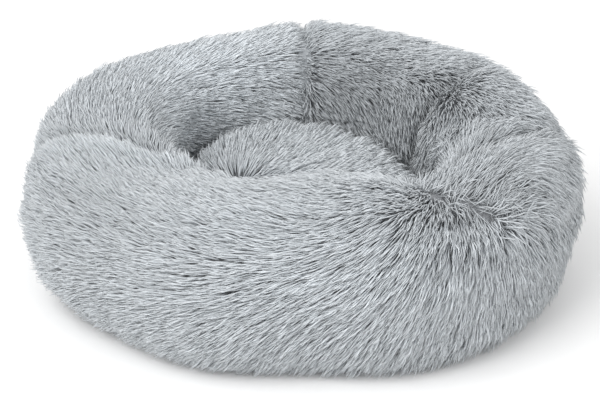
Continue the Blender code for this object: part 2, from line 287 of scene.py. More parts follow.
def fold_amount(azimuth, over):
    """Inward move along the creases. Each one is a bent line through three places."""
    move = np.zeros(len(azimuth))
    for start, middle, end, wide, depth in RIM_FOLDS:
        nearest = np.full(len(azimuth), 1e9)
        fade = np.zeros(len(azimuth))
        for step in np.linspace(0, 1, 25):
            line = [(1 - step) ** 2 * s + 2 * step * (1 - step) * m + step**2 * e
                    for s, m, e in zip((apart(start[0], middle[0]), start[1]),
                                       (0.0, middle[1]),
                                       (apart(end[0], middle[0]), end[1]))]
            gap = np.hypot(apart(azimuth, middle[0]) - line[0], (over - line[1]) * 0.45)
            closer = gap < nearest
            nearest = np.where(closer, gap, nearest)
            fade = np.where(closer, 1 - 0.5 * step, fade)
        move += depth * fade * np.exp(-((nearest / wide) ** 2))
    return move


skin_points = points_of(rim_skin.data)
skin_normals = normals_of(rim_skin.data)
skin_azimuth, skin_over = ring_place(skin_points)
lumps = soft_spots(RIM_BUMPS, skin_azimuth, skin_over) - fold_amount(skin_azimuth, skin_over)
floor_hold = np.clip(skin_points[:, 2] / FLOOR_HOLD_HIGH, 0, 1)
skin_points = skin_points + skin_normals * (lumps * floor_hold)[:, None]
move_points(rim_skin.data, skin_points)
print("bumps and folds from", round(lumps.min(), 4), "to", round(lumps.max(), 4))

# %% [markdown]
# ## Which way the pile lies
# The pile was stroked clockwise round the ring from a parting at the right front, and it falls toward
# the floor on the outer wall. The table below is the comb: for some azimuths, the heading of the pile
# at five turns over the tube. A heading of 180 lies clockwise along the ring, 0 the other way, -90
# points down the outer wall and 90 down into the nest. The parting itself is a short line: the pile
# near it turns away to both sides, and a few tufts stray across.

# %% Comb the rim
COMB_TURNS = (-45, 15, 60, 100, 150)
COMB = (
    (0, (-95, -115, -125, -165, 115)),
    (8, (-98, -118, -132, -165, 120)),
    (30, (-110, -125, -140, -170, 130)),
    (60, (-130, -160, -170, 180, 150)),
    (90, (-135, -160, -175, 175, 155)),
    (120, (-140, -160, -175, 175, 165)),
    (150, (-145, -160, 180, 180, 155)),
    (180, (-145, -172, -172, -172, 150)),
    (195, (-144, -170, -160, -152, 160)),
    (212, (-144, -178, -165, -155, 165)),
    (240, (-150, -174, 178, 176, 168)),
    (268, (-140, -170, 178, 175, 165)),
    (290, (-118, -136, -150, -170, 165)),
    (298, (-112, -128, -142, 165, 130)),
    (306, (-106, -120, -130, 35, 50)),
    (314, (-98, -105, -85, 10, 22)),
    (322, (-88, -84, -70, 2, 12)),
    (338, (-82, -85, -88, -18, 8)),
    (350, (-88, -100, -110, -42, 10)),
)


def comb_heading(azimuth, over):
    """The pile's heading, as the two parts of a unit vector: along the ring, and up over it."""
    knots = np.array([row[0] for row in COMB] + [360.0])
    place = np.interp(over, COMB_TURNS, np.arange(len(COMB_TURNS)))
    below = np.clip(place.astype(int), 0, len(COMB_TURNS) - 2)
    share = place - below
    every = np.arange(len(azimuth))
    parts = []
    for part in (np.cos, np.sin):
        rows = [part(np.radians(row[1])) for row in COMB]
        rows = np.array(rows + rows[:1])
        levels = np.array([np.interp(azimuth, knots, rows[:, k]) for k in range(rows.shape[1])])
        parts.append(levels[below, every] * (1 - share) + levels[below + 1, every] * share)
    along, climb = parts
    size = np.hypot(along, climb) + 1e-6
    return along / size, climb / size


# %% The parting at the right front
PARTING = ((302, 94), (318, 52))
PARTING_WANDER = 0.013
ALONG_METRES = 0.0051
OVER_METRES = 0.0016


def part_pile(azimuth, over, along, climb):
    """Turns the pile away from the parting line, slanted on its upper side, with some stray tufts."""
    (start, start_over), (end, end_over) = PARTING
    wander = np.random.default_rng(7).normal(scale=PARTING_WANDER, size=(2, len(azimuth)))
    across = apart(azimuth, start) * ALONG_METRES + wander[0]
    rise = (over - start_over) * OVER_METRES + wander[1]
    line = np.array([(end - start) * ALONG_METRES, (end_over - start_over) * OVER_METRES])
    share = np.clip((across * line[0] + rise * line[1]) / (line @ line), 0, 1)
    gap_along, gap_up = across - share * line[0], rise - share * line[1]
    gap = np.hypot(gap_along, gap_up) + 1e-6
    upper = smooth_step((line[0] * gap_up - line[1] * gap_along) / (np.hypot(*line) * 0.02))
    near = np.exp(-((gap / 0.036) ** 2))
    along = along * (1 - near) + (gap_along / gap + 1.8 * upper) * near
    climb = climb * (1 - near) + gap_up / gap * near
    size = np.hypot(along, climb) + 1e-6
    return along / size, climb / size


def comb_rim(points, normals):
    """Unit vectors along the pile for points on the rim."""
    azimuth, over = ring_place(points)
    away = np.radians(azimuth)
    around = np.stack([-np.sin(away), np.cos(away), np.zeros(len(away))], -1)
    around -= normals * (around * normals).sum(1)[:, None]
    around /= np.linalg.norm(around, axis=1)[:, None] + 1e-9
    up_over = np.cross(normals, around)
    along, climb = part_pile(azimuth, over, *comb_heading(azimuth, over))
    lies = around * along[:, None] + up_over * climb[:, None]
    outward = np.stack([np.cos(away), np.sin(away), np.full(len(away), -1.6)], -1)
    hangs = outward * np.array([0.34, 0.34, 0.40]) - around * 0.80
    fringe = smooth_step((-25 - over) / 30)[:, None]
    return lies * (1 - fringe) + hangs * fringe


# %% Painted light and shade on the fur: 1 on average, less in the creases and on shaded inner walls, more on lit sides
CREASE_SHADE = 0.42
# Painted light and shade by place: azimuth, turn over the tube, widths, and how much lighter or darker
# the fur is painted
PAINTED_LIGHT_AND_SHADE = (
    (62, 150, 36, 45, -0.22),
    (80, 145, 10, 45, -0.08),
    (15, 150, 25, 50, -0.14),
    (352, 5, 34, 60, -0.22),
    (310, 72, 13, 16, -0.16),
    (130, 120, 38, 55, 0.30),
    (222, 40, 30, 60, -0.07),
    (195, 85, 14, 40, 0.06),
    (268, 95, 22, 22, -0.10),
    (278, 20, 32, 50, 0.16),
)

# %% Store the comb, the pile's length and where it grows
PILE_LONG = 0.024
FOLD_DEPTH = 0.02
FUR_STARTS, FUR_ENDS = -78, 215


def store(mesh, name, kind, values):
    """Writes one value for each point under a name that Geometry Nodes can read."""
    field = mesh.attributes.new(name, kind, "POINT")
    key = "vector" if kind == "FLOAT_VECTOR" else "value"
    field.data.foreach_set(key, np.asarray(values, np.float32).ravel())


skin_points = points_of(rim_skin.data)
skin_normals = normals_of(rim_skin.data)
skin_azimuth, skin_over = ring_place(skin_points)
store(rim_skin.data, "comb", "FLOAT_VECTOR", comb_rim(skin_points, skin_normals))
front_right = np.exp(-((apart(skin_azimuth, 305) / 38) ** 2)) * smooth_step((75 - skin_over) / 30)
crease = fold_amount(skin_azimuth, skin_over) / FOLD_DEPTH
trimmed = np.max([fold_amount(skin_azimuth + turn, skin_over) for turn in (-3, 0, 3)], axis=0)
trimmed = np.clip(trimmed / FOLD_DEPTH, 0, 1)
fringe = smooth_step((-20 - skin_over) / 35)
# Painted shade darkens the fur along the folds, and the table adds painted light and shade by place
nap = soft_spots(PAINTED_LIGHT_AND_SHADE, skin_azimuth, skin_over, 1.0) - CREASE_SHADE * np.clip(crease, -0.35, 1)
for name, values in (
    ("pile", (PILE_LONG + 0.006 * front_right) * (1 - 0.50 * trimmed) * (1 - 0.18 * fringe)),
    ("loft", (0.72 + 0.18 * front_right) * (1 - 0.25 * fringe)),
    ("clumping", 0.28 + 0.26 * front_right),
    ("nap", nap),
    ("grows", (skin_over > FUR_STARTS) & (skin_over < FUR_ENDS)),
    ("azimuth", skin_azimuth),
):
    store(rim_skin.data, name, "FLOAT", values)

# %% [markdown]
# ## One lock of fur
# A lock is a few hairs stuck together, so it is modelled as one thin spindle: a root, two rings of
# three points and a tip, twelve triangles in all. Four versions bend differently. Each point remembers
# how far along the lock it is, which later drives the colour from dark root to pale tip.

# %% Build the lock shapes
LOCK_RINGS = ((0.36, 1.00), (0.72, 0.74))
LOCK_BENDS = (0.0, 1.3, -1.3, 2.4)
LOCK_ROOT = -0.15


def lock_rise(share):
    """Height of the lock above the skin: it leaves steeply and then lies over."""
    return LOCK_ROOT + (1.05 - LOCK_ROOT) * math.sin(share * 1.75)


def lock_shape(name, bend):
    """One closed lock along +Y, one unit long, wide and high, rooted just under the skin."""
    verts = [(0.0, 0.0, LOCK_ROOT)]
    along = [0.0]
    for share, wide in LOCK_RINGS:
        for corner in (90, 210, 330):
            side = math.cos(math.radians(corner)) * 0.58 * wide
            up = math.sin(math.radians(corner)) * 0.085 * wide
            verts.append((bend * share * share + side, share, lock_rise(share) + up))
            along.append(share)
    verts.append((bend, 1.0, lock_rise(1.0)))
    along.append(1.0)
    faces = []
    for k in range(3):
        n = (k + 1) % 3
        faces += [(0, 1 + n, 1 + k), (1 + k, 1 + n, 4 + n), (1 + k, 4 + n, 4 + k),
                  (4 + k, 4 + n, 7)]
    lock = shape_of(name, verts, faces)
    store(lock.data, "along", "FLOAT", along)
    return lock


lock_shapes = [lock_shape(f"lock_{n}", bend) for n, bend in enumerate(LOCK_BENDS)]
print("triangles in a lock", len(lock_shapes[0].data.polygons))

# %% [markdown]
# ## Growing the pile
# Blender's hair would look the part, but a part that leaves Blender needs real triangles. Geometry
# Nodes scatter points evenly on the skin, turn a lock at each point along the comb, let neighbours lean
# toward a shared tip so that they clump, and turn the result into one mesh.

# %% A small helper for node trees
def wire(tree, kind, inputs=None, **settings):
    """Adds a node, sets its options, and feeds its inputs from values or other sockets."""
    node = tree.nodes.new(kind)
    for key, value in settings.items():
        setattr(node, key, value)
    for key, value in (inputs or {}).items():
        socket = node.inputs[key]
        if isinstance(value, bpy.types.NodeSocket):
            tree.links.new(value, socket)
        else:
            socket.default_value = value
    return node


def attribute(tree, name, kind="FLOAT"):
    """Reads a stored value in a Geometry Nodes tree."""
    return wire(tree, "GeometryNodeInputNamedAttribute", {"Name": name}, data_type=kind).outputs[0]


def sums(tree, operation, *values):
    """One Math node."""
    return wire(tree, "ShaderNodeMath", dict(enumerate(values)), operation=operation).outputs[0]


def arrows(tree, operation, *values, out=0):
    """One Vector Math node."""
    return wire(tree, "ShaderNodeVectorMath", dict(enumerate(values)), operation=operation).outputs[out]


def scaled(tree, vector, factor):
    """A vector times a number."""
    node = wire(tree, "ShaderNodeVectorMath", {0: vector, "Scale": factor}, operation="SCALE")
    return node.outputs[0]


# %% The fur tree
def build_fur_tree():
    """Geometry Nodes: skin in, locks out, for the azimuths between From and To."""
    tree = bpy.data.node_groups.new("grow_fur", "GeometryNodeTree")
    face = tree.interface
    face.new_socket("Skin", in_out="INPUT", socket_type="NodeSocketGeometry")
    for name, start in (("From", 0.0), ("To", 360.0), ("Gap", 0.00142), ("Width", 0.0014),
                        ("Rise", 0.011), ("Clump Size", 0.011)):
        socket = face.new_socket(name, in_out="INPUT", socket_type="NodeSocketFloat")
        socket.default_value = start
    face.new_socket("Seed", in_out="INPUT", socket_type="NodeSocketInt")
    face.new_socket("Material", in_out="INPUT", socket_type="NodeSocketMaterial")
    face.new_socket("Fur", in_out="OUTPUT", socket_type="NodeSocketGeometry")
    given = tree.nodes.new("NodeGroupInput").outputs

    azimuth = attribute(tree, "azimuth")
    inside = sums(tree, "MULTIPLY", sums(tree, "GREATER_THAN", azimuth, given["From"]),
                  sums(tree, "LESS_THAN", azimuth, given["To"]))
    scatter = wire(tree, "GeometryNodeDistributePointsOnFaces",
                   {"Mesh": given["Skin"], "Distance Min": given["Gap"], "Density Max": 600000.0,
                    "Density Factor": attribute(tree, "grows"), "Selection": inside,
                    "Seed": given["Seed"]},
                   distribute_method="POISSON")
    place = wire(tree, "GeometryNodeInputPosition").outputs[0]

    cell = wire(tree, "ShaderNodeTexVoronoi",
                {"Vector": place, "Scale": sums(tree, "DIVIDE", 1.0, given["Clump Size"])})
    lean = arrows(tree, "SUBTRACT", cell.outputs["Position"], place)
    lean = scaled(tree, lean, attribute(tree, "clumping"))
    drift = wire(tree, "ShaderNodeTexNoise", {"Vector": place, "Scale": 38.0, "Detail": 2.0})
    drift = arrows(tree, "SUBTRACT", drift.outputs["Color"], (0.5, 0.5, 0.5))
    jitter = wire(tree, "FunctionNodeRandomValue",
                  {"Min": (-1, -1, -1), "Max": (1, 1, 1), "Seed": given["Seed"]},
                  data_type="FLOAT_VECTOR").outputs[0]
    pile = attribute(tree, "pile")
    aim = scaled(tree, attribute(tree, "comb", "FLOAT_VECTOR"), pile)
    aim = arrows(tree, "ADD", aim, lean)
    aim = arrows(tree, "ADD", aim, scaled(tree, drift, 0.016))
    aim = arrows(tree, "ADD", aim, scaled(tree, jitter, 0.0024))

    point_on = wire(tree, "FunctionNodeAlignRotationToVector", {"Vector": aim}, axis="Y")
    turn = wire(tree, "FunctionNodeAlignRotationToVector",
                {"Rotation": point_on.outputs[0], "Vector": scatter.outputs["Normal"]},
                axis="Z", pivot_axis="Y")
    chance = [wire(tree, "FunctionNodeRandomValue", {2: low, 3: high, "Seed": n + 11},
                   data_type="FLOAT").outputs[1]
              for n, (low, high) in enumerate(((0.75, 1.20), (0.65, 1.35), (0.65, 1.30)))]
    size = wire(tree, "ShaderNodeCombineXYZ",
                {"X": sums(tree, "MULTIPLY", given["Width"], chance[0]),
                 "Y": sums(tree, "MULTIPLY", pile, chance[1]),
                 "Z": sums(tree, "MULTIPLY", sums(tree, "MULTIPLY", given["Rise"], chance[2]),
                           attribute(tree, "loft"))})
    shapes = wire(tree, "GeometryNodeGeometryToInstance")
    for lock in lock_shapes:
        source = wire(tree, "GeometryNodeObjectInfo", {"Object": lock})
        tree.links.new(source.outputs["Geometry"], shapes.inputs[0])
    pick = wire(tree, "FunctionNodeRandomValue", {4: 0, 5: len(lock_shapes) - 1, "Seed": 5},
                data_type="INT").outputs[2]
    grown = wire(tree, "GeometryNodeInstanceOnPoints",
                 {"Points": scatter.outputs["Points"], "Instance": shapes.outputs[0],
                  "Pick Instance": True, "Instance Index": pick,
                  "Rotation": turn.outputs[0], "Scale": size.outputs[0]})
    shade = wire(tree, "FunctionNodeRandomValue", {2: 0.0, 3: 1.0, "Seed": 21},
                 data_type="FLOAT").outputs[1]
    marked = wire(tree, "GeometryNodeStoreNamedAttribute",
                  {"Geometry": grown.outputs[0], "Name": "shade", "Value": shade},
                  data_type="FLOAT", domain="INSTANCE")
    real = wire(tree, "GeometryNodeRealizeInstances", {"Geometry": marked.outputs[0]})
    smooth = wire(tree, "GeometryNodeSetShadeSmooth", {"Geometry": real.outputs[0]})
    coloured = wire(tree, "GeometryNodeSetMaterial",
                    {"Geometry": smooth.outputs[0], "Material": given["Material"]})
    out = tree.nodes.new("NodeGroupOutput")
    tree.links.new(coloured.outputs[0], out.inputs[0])
    return tree


fur_tree = build_fur_tree()

# %% [markdown]
# ## The fur's colour
# Each hair is darker near its root, where its neighbours shade it, and palest at the tip. The group
# below turns a lock's own numbers into a colour, and the material around it adds the soft sheen of
# polyester pile.

# %% Fur tint group
def build_tint_group():
    """Shader group: root and tip colours, a random share for each lock, and the painted light and shade
    stored on the skin.
    """
    group = bpy.data.node_groups.new("pile_tint", "ShaderNodeTree")
    face = group.interface
    for name, value in (("Root", (0.47, 0.495, 0.515, 1)), ("Middle", (0.56, 0.59, 0.615, 1)),
                        ("Tip", (0.62, 0.65, 0.675, 1))):
        socket = face.new_socket(name, in_out="INPUT", socket_type="NodeSocketColor")
        socket.default_value = value
    spread = face.new_socket("Lock Contrast", in_out="INPUT", socket_type="NodeSocketFloat")
    spread.default_value = 0.22
    face.new_socket("Colour", in_out="OUTPUT", socket_type="NodeSocketColor")
    given = group.nodes.new("NodeGroupInput").outputs
    along = wire(group, "ShaderNodeAttribute", attribute_name="along").outputs["Fac"]
    shade = wire(group, "ShaderNodeAttribute", attribute_name="shade").outputs["Fac"]
    low = wire(group, "ShaderNodeMapRange", {"Value": along, 1: 0.0, 2: 0.45, 3: 0.0, 4: 1.0})
    high = wire(group, "ShaderNodeMapRange", {"Value": along, 1: 0.35, 2: 1.0, 3: 0.0, 4: 1.0})
    first = wire(group, "ShaderNodeMix", {0: low.outputs[0], 6: given["Root"], 7: given["Middle"]},
                 data_type="RGBA")
    second = wire(group, "ShaderNodeMix",
                  {0: high.outputs[0], 6: first.outputs[2], 7: given["Tip"]}, data_type="RGBA")
    lift = sums(group, "MULTIPLY", sums(group, "SUBTRACT", shade, 0.5), given["Lock Contrast"])
    lift = sums(group, "ADD", lift, 1.0)
    # Painted light and shade: the skin's stored value darkens creases and shaded walls and lightens lit
    # ones
    nap = wire(group, "ShaderNodeAttribute", attribute_name="nap").outputs["Fac"]
    lift = sums(group, "MULTIPLY", lift, nap)
    toned = wire(group, "ShaderNodeMix", {0: 1.0, 6: second.outputs[2], 7: lift},
                 data_type="RGBA", blend_type="MULTIPLY")
    out = group.nodes.new("NodeGroupOutput")
    group.links.new(toned.outputs[2], out.inputs[0])
    return group


pile_tint = build_tint_group()

# %% Fur material
def fur_material(name):
    """Long polyester pile: tinted by the group, rough, with a constant sheen."""
    material, tree, surface = material_start(name, 0.62)
    surface.inputs["Specular IOR Level"].default_value = 0.35
    surface.inputs["Sheen Weight"].default_value = 0.15
    surface.inputs["Sheen Roughness"].default_value = 0.5
    tint = wire(tree, "ShaderNodeGroup", node_tree=pile_tint)
    tree.links.new(tint.outputs[0], surface.inputs["Base Color"])
    return material


fur = fur_material("fur_pile")

# %% Grow the rim's fur, one sector at a time
FUR_SECTORS = 12


def socket_id(tree, name):
    """The identifier of a tree's named input."""
    return next(s.identifier for s in tree.interface.items_tree
                if s.name == name and s.in_out == "INPUT")


def grow(skin, name, **values):
    """Runs the fur tree on a skin and returns the locks as a plain mesh object."""
    carrier = link_mesh(name + "_carrier", skin.data)
    growth = carrier.modifiers.new("fur", "NODES")
    growth.node_group = fur_tree
    for key, value in values.items():
        growth[socket_id(fur_tree, key)] = value
    growth[socket_id(fur_tree, "Material")] = fur
    graph = bpy.context.evaluated_depsgraph_get()
    mesh = bpy.data.meshes.new_from_object(carrier.evaluated_get(graph))
    mesh.name = name
    bpy.data.objects.remove(carrier)
    press_on_floor(mesh)
    return link_mesh(name, mesh)


def press_on_floor(mesh):
    """Locks that would pass through the floor are flattened on it."""
    points = points_of(mesh)
    low = points[:, 2] < 0.004
    points[low, 2] = 0.0012 + 0.0028 * np.exp((points[low, 2] - 0.004) / 0.0028)
    move_points(mesh, points)


rim_fur = []
for sector in range(FUR_SECTORS):
    width = 360 / FUR_SECTORS
    piece = grow(rim_skin, f"rim_fur_{sector + 1:02d}", From=sector * width,
                 To=(sector + 1) * width, Seed=sector)
    rim_fur.append(piece)
print("rim fur triangles", [len(p.data.polygons) for p in rim_fur])

# %% [markdown]
# ## The cushion in the nest
# The cushion is a fur pillow that fills the nest and is pressed into a low dome. Its skin gets a short
# cloth simulation with air pressure inside, which rounds the edges as stuffing does. The result is
# capped, so that the cushion stays clear of the rim, and applied.

# %% Inflate a skin with cloth
def inflate(piece, pressure, cap):
    """Swells the piece with a pressurised cloth run, moving no point further than cap."""
    start = points_of(piece.data)
    cloth = piece.modifiers.new("swell", "CLOTH")
    cloth.settings.use_pressure = True
    cloth.settings.uniform_pressure_force = pressure
    cloth.settings.effector_weights.gravity = 0.0
    cloth.settings.quality = 4
    cloth.collision_settings.use_collision = False
    scene = bpy.context.scene
    for step in range(1, 21):
        scene.frame_set(step)
    graph = bpy.context.evaluated_depsgraph_get()
    swollen = bpy.data.meshes.new_from_object(piece.evaluated_get(graph))
    moved = points_of(swollen) - start
    bpy.data.meshes.remove(swollen)
    piece.modifiers.clear()
    scene.frame_set(1)
    size = np.linalg.norm(moved, axis=1)
    moved *= np.minimum(1, cap / np.maximum(size, 1e-9))[:, None]
    move_points(piece.data, start + moved)
    print(piece.name, "swells by up to", round(float(min(size.max(), cap)), 4))


# %% The cushion's skin
CUSHION_PRESSURE = 4.0
CUSHION_CAP = 0.004
CUSHION_FLARE = 0.10
FLARE_FROM, FLARE_OVER = 0.02, 0.05
CUSHION_LOW = 0.0126

cushion_skin = merged_copy("cushion_filling", "cushion_skin")
even_grid(cushion_skin, SKIN_CELL)
inflate(cushion_skin, CUSHION_PRESSURE, CUSHION_CAP)
pillow = points_of(cushion_skin.data)
flare = 1 + CUSHION_FLARE * (1 - smooth_step((pillow[:, 2] - FLARE_FROM) / FLARE_OVER))
pillow[:, :2] = RIM_CENTRE[:2] + (pillow[:, :2] - RIM_CENTRE[:2]) * flare[:, None]
pillow[:, 2] = np.maximum(pillow[:, 2], CUSHION_LOW)
move_points(cushion_skin.data, pillow)

# %% Comb the cushion
CUSHION_WHORL = np.array([-0.068, -0.040, 0.11])
CUSHION_DRIFT = np.array([0.35, 0.0, 0.0])
FUR_FROM = 0.020


def comb_cushion(points, normals):
    """The pile fans out from a whorl near the left front of the cushion."""
    fan = points - CUSHION_WHORL
    fan[:, 2] = 0
    fan /= np.linalg.norm(fan, axis=1)[:, None] + 1e-6
    fan += CUSHION_DRIFT
    fan -= normals * (fan * normals).sum(1)[:, None]
    return fan / (np.linalg.norm(fan, axis=1)[:, None] + 1e-6)


pillow = points_of(cushion_skin.data)
pillow_normals = normals_of(cushion_skin.data)
store(cushion_skin.data, "comb", "FLOAT_VECTOR", comb_cushion(pillow, pillow_normals))
for name, value in (("pile", PILE_LONG), ("loft", 1.0), ("clumping", 0.4), ("nap", 1.04),
                    ("azimuth", 10.0)):
    store(cushion_skin.data, name, "FLOAT", np.full(len(pillow), value))
store(cushion_skin.data, "grows", "FLOAT", pillow[:, 2] > FUR_FROM)
cushion_fur = grow(cushion_skin, "cushion_fur", From=0.0, To=20.0, Seed=40, Rise=0.0105,
                   Gap=0.00171)
print("cushion fur triangles", len(cushion_fur.data.polygons))
for piece in (cushion_skin, cushion_fur):
    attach(piece, "cushion")
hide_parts("cushion_top", "cushion_filling")

# %% Clear the lock shapes away, and join the rim's pieces to the bed
for lock in lock_shapes:
    bpy.data.objects.remove(lock)
for piece in (*rim_fur, rim_skin):
    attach(piece, "bed")
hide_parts("rim_cover")

# %% [markdown]
# ## Cloth, tape and fibre
# The pieces that hold the bed together are woven or felted. One group makes a plain weave from two
# crossed waves with a little unevenness, and another makes the loose mat of stuffing fibre. Each
# material sets its own thread size and colours.

# %% Weave group
def build_weave_group():
    """Plain weave in X and Y: a height for bump and a mask for colour."""
    group = bpy.data.node_groups.new("plain_weave", "ShaderNodeTree")
    face = group.interface
    for name, value in (("Threads", 900.0), ("Slub", 0.25)):
        socket = face.new_socket(name, in_out="INPUT", socket_type="NodeSocketFloat")
        socket.default_value = value
    for name, value in (("Warp", (0.3, 0.31, 0.33, 1)), ("Weft", (0.4, 0.41, 0.43, 1))):
        socket = face.new_socket(name, in_out="INPUT", socket_type="NodeSocketColor")
        socket.default_value = value
    face.new_socket("Colour", in_out="OUTPUT", socket_type="NodeSocketColor")
    face.new_socket("Height", in_out="OUTPUT", socket_type="NodeSocketFloat")
    given = group.nodes.new("NodeGroupInput").outputs
    place = group.nodes.new("ShaderNodeTexCoord").outputs["Object"]
    parts = wire(group, "ShaderNodeSeparateXYZ", {0: place}).outputs
    waves = []
    for axis in (0, 1):
        turned = sums(group, "MULTIPLY", parts[axis], given["Threads"])
        waves.append(sums(group, "SINE", sums(group, "MULTIPLY", turned, math.pi)))
    over = sums(group, "MULTIPLY", waves[0], waves[1])
    slub = wire(group, "ShaderNodeTexNoise", {"Vector": place, "Scale": 300.0, "Detail": 3.0})
    uneven = sums(group, "MULTIPLY", sums(group, "SUBTRACT", slub.outputs[0], 0.5), given["Slub"])
    height = sums(group, "ADD", sums(group, "ABSOLUTE", over), uneven)
    which = wire(group, "ShaderNodeMapRange", {"Value": over, 1: -0.2, 2: 0.2, 3: 0.0, 4: 1.0})
    mixed = wire(group, "ShaderNodeMix",
                 {0: which.outputs[0], 6: given["Warp"], 7: given["Weft"]}, data_type="RGBA")
    worn = wire(group, "ShaderNodeMapRange",
                {"Value": slub.outputs[0], 1: 0.3, 2: 0.7, 3: 0.85, 4: 1.1})
    toned = wire(group, "ShaderNodeMix", {0: 1.0, 6: mixed.outputs[2], 7: worn.outputs[0]},
                 data_type="RGBA", blend_type="MULTIPLY")
    out = group.nodes.new("NodeGroupOutput")
    group.links.new(toned.outputs[2], out.inputs[0])
    group.links.new(height, out.inputs[1])
    return group


plain_weave = build_weave_group()


# %% Cloth materials
def cloth_material(name, warp, weft, threads, roughness, sheen=0.1, depth=0.0002):
    """Woven cloth with its own thread count and colours."""
    material, tree, surface = material_start(name, roughness)
    surface.inputs["Sheen Weight"].default_value = sheen
    weave = wire(tree, "ShaderNodeGroup", node_tree=plain_weave)
    weave.inputs["Threads"].default_value = threads
    weave.inputs["Warp"].default_value = (*warp, 1)
    weave.inputs["Weft"].default_value = (*weft, 1)
    bump = wire(tree, "ShaderNodeBump", {"Height": weave.outputs["Height"], "Strength": 0.6,
                                         "Distance": depth})
    tree.links.new(weave.outputs["Colour"], surface.inputs["Base Color"])
    tree.links.new(bump.outputs[0], surface.inputs["Normal"])
    return material


anti_slip = cloth_material("anti_slip_weave", (0.30, 0.32, 0.34), (0.36, 0.38, 0.40), 900, 0.85)
binding = cloth_material("binding_weave", (0.30, 0.32, 0.34), (0.36, 0.38, 0.40), 1400, 0.8)
lining = cloth_material("lining_weave", (0.55, 0.57, 0.60), (0.62, 0.64, 0.66), 1200, 0.9)
zip_cloth = cloth_material("zip_tape_weave", (0.33, 0.35, 0.38), (0.39, 0.41, 0.44), 1800, 0.8)
satin = cloth_material("label_weave", (0.86, 0.86, 0.86), (0.92, 0.92, 0.92), 2600, 0.45,
                       sheen=0.3, depth=0.00005)
# The pile's real knitted backing, coloured dark grey as painted shade at the roots, between locks and
# in the partings
backing_in_painted_shade = cloth_material("pile_backing_painted_shade", (0.21, 0.22, 0.235), (0.26, 0.27, 0.285), 700, 0.9)
for skin in (rim_skin, cushion_skin):
    skin.data.materials.append(backing_in_painted_shade)


def fibre_material(name):
    """Felted polyester stuffing: fine tangled strands over a soft white."""
    material, tree, surface = material_start(name, 1.0)
    surface.inputs["Sheen Weight"].default_value = 0.3
    place = tree.nodes.new("ShaderNodeTexCoord").outputs["Object"]
    tangle = wire(tree, "ShaderNodeTexNoise",
                  {"Vector": place, "Scale": 160.0, "Detail": 6.0, "Distortion": 2.5})
    shade = wire(tree, "ShaderNodeMapRange",
                 {"Value": tangle.outputs[0], 1: 0.3, 2: 0.7, 3: 0.70, 4: 0.92})
    bump = wire(tree, "ShaderNodeBump",
                {"Height": tangle.outputs[0], "Strength": 0.8, "Distance": 0.0015})
    tree.links.new(shade.outputs[0], surface.inputs["Base Color"])
    tree.links.new(bump.outputs[0], surface.inputs["Normal"])
    return material


fibre = fibre_material("stuffing_fibre")

# %% [markdown]
# ## The hidden filling and linings
# These pieces are only seen when the bed is taken apart. They keep the exact places of their CAD
# solids, and get the softness of stuffing from a slight lumpiness that stays within their own space.

# %% Dress a soft CAD solid
LUMP_WAVES = (np.array([61.0, 37.0, 83.0]), np.array([-43.0, 71.0, 29.0]))
STUFFING_SINK = 0.007


def dressed(node, name, body, finish, split=0.0, lump=0.0):
    """A copy of a CAD solid, cut finer and pressed inwards in soft lumps, with its own finish."""
    piece = merged_copy(node, name)
    if split:
        even_grid(piece, split)
        points = points_of(piece.data)
        normals = normals_of(piece.data)
        wave = np.sin(points @ LUMP_WAVES[0]) * np.sin(points @ LUMP_WAVES[1])
        move_points(piece.data, points - normals * (lump * (0.5 + 0.5 * wave))[:, None])
    piece.data.materials.clear()
    piece.data.materials.append(finish)
    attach(piece, body)
    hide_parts(node)
    return piece


rim_stuffing = dressed("rim_filling", "rim_stuffing", "bed", fibre, 0.010, 0.006)
stuffing = points_of(rim_stuffing.data)
stuffing_azimuth, stuffing_over = ring_place(stuffing)
sink = STUFFING_SINK + fold_amount(stuffing_azimuth, stuffing_over)
sink -= np.minimum(soft_spots(RIM_BUMPS, stuffing_azimuth, stuffing_over), 0)
move_points(rim_stuffing.data, stuffing - normals_of(rim_stuffing.data) * sink[:, None])
wadding = dressed("base_wadding", "base_wadding_mat", "bed", fibre)
dressed("floor_lining", "floor_lining_cloth", "bed", lining)
dressed("back_seam_tape", "back_seam_tape_cloth", "bed", binding)
dressed("cushion_underside", "cushion_under_cloth", "cushion", lining)
for side in ("front", "back"):
    dressed(f"zip_tape_{side}", f"zip_tape_{side}_cloth", "bed", zip_cloth)

# %% [markdown]
# ## The base with its grip dots
# The real base is a coated cloth printed with rubbery dots that stop it sliding. A grid of points on
# the cloth gets a small flat dome each. They sit in the last 0.6 mm above the floor, so the cloth's
# lower face is raised by that much.

# %% Base cloth
DOT_PITCH = 0.0075
DOT_RADIUS = 0.0013
DOT_HIGH = 0.0006
EDGE_REACH = 0.22

base_cloth = dressed("base_panel", "base_cloth", "bed", anti_slip)
base_points = points_of(base_cloth.data)
base_points[base_points[:, 2] < DOT_HIGH / 2, 2] = DOT_HIGH
move_points(base_cloth.data, base_points)
outline = base_points - RIM_CENTRE
outline_turn = np.degrees(np.arctan2(outline[:, 1], outline[:, 0])) % 360
outline_reach = np.hypot(outline[:, 0], outline[:, 1])
edge = outline_reach > EDGE_REACH
edge_order = np.argsort(outline_turn[edge])
edge_turn = outline_turn[edge][edge_order]
edge_reach = outline_reach[edge][edge_order]


def base_edge(turn):
    """The base's radius at a turn in degrees."""
    return np.interp(turn % 360, edge_turn, edge_reach, period=360)


# %% Dots
def cloud(name, places, more=()):
    """A mesh of loose points, for Geometry Nodes to put things on."""
    mesh = bpy.data.meshes.new(name)
    mesh.from_pydata([tuple(p) for p in places], [], [])
    for key, kind, values in more:
        store(mesh, key, kind, values)
    return link_mesh(name, mesh)


